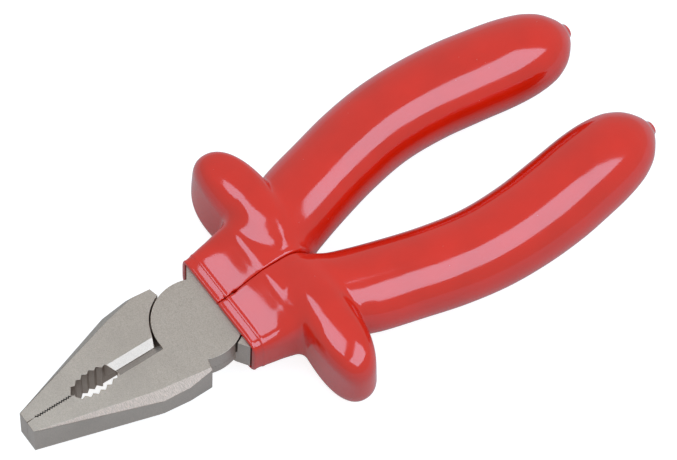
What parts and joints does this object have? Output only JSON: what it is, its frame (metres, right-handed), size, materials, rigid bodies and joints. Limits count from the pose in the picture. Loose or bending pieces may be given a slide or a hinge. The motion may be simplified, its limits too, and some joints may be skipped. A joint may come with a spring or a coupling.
{
  "type": "lineman pliers",
  "caption": "Steel combination pliers with serrated jaws, pipe grip and side cutter on a riveted lap joint, with thick glossy red dipped grips and finger guards.",
  "frame": {"origin": "bottom centre of the whole tool lying flat with its jaws closed", "axes": "+X towards the handle ends, -X towards the nose, +Y towards the upper handle, +Z along the pivot axis, out of the front face"},
  "size_m": [0.1836, 0.0776, 0.0248],
  "materials": {
    "forged_steel": "satin ground steel with a fine blasted grain",
    "rivet_steel": "ground flush",
    "inner_layer": "glossy dipped plastisol",
    "guard_core": "moulded, hidden",
    "outer_skin": "glossy dipped plastisol"
  },
  "bodies": {
    "front": {"front_half": "forged_steel", "pivot_rivet": "rivet_steel", "upper_inner_sleeve": "inner_layer", "upper_guard_core": "guard_core", "upper_outer_skin": "outer_skin"},
    "back": {"back_half": "forged_steel", "lower_inner_sleeve": "inner_layer", "lower_guard_core": "guard_core", "lower_outer_skin": "outer_skin"}
  },
  "joints": [
    {"name": "jaw_pivot", "type": "hinge", "parent": "front", "child": "back", "pos_m": [-0.04055, 0, 0.0124], "axis": [0, 0, -1], "range_deg": [0, 38]}
  ]
}
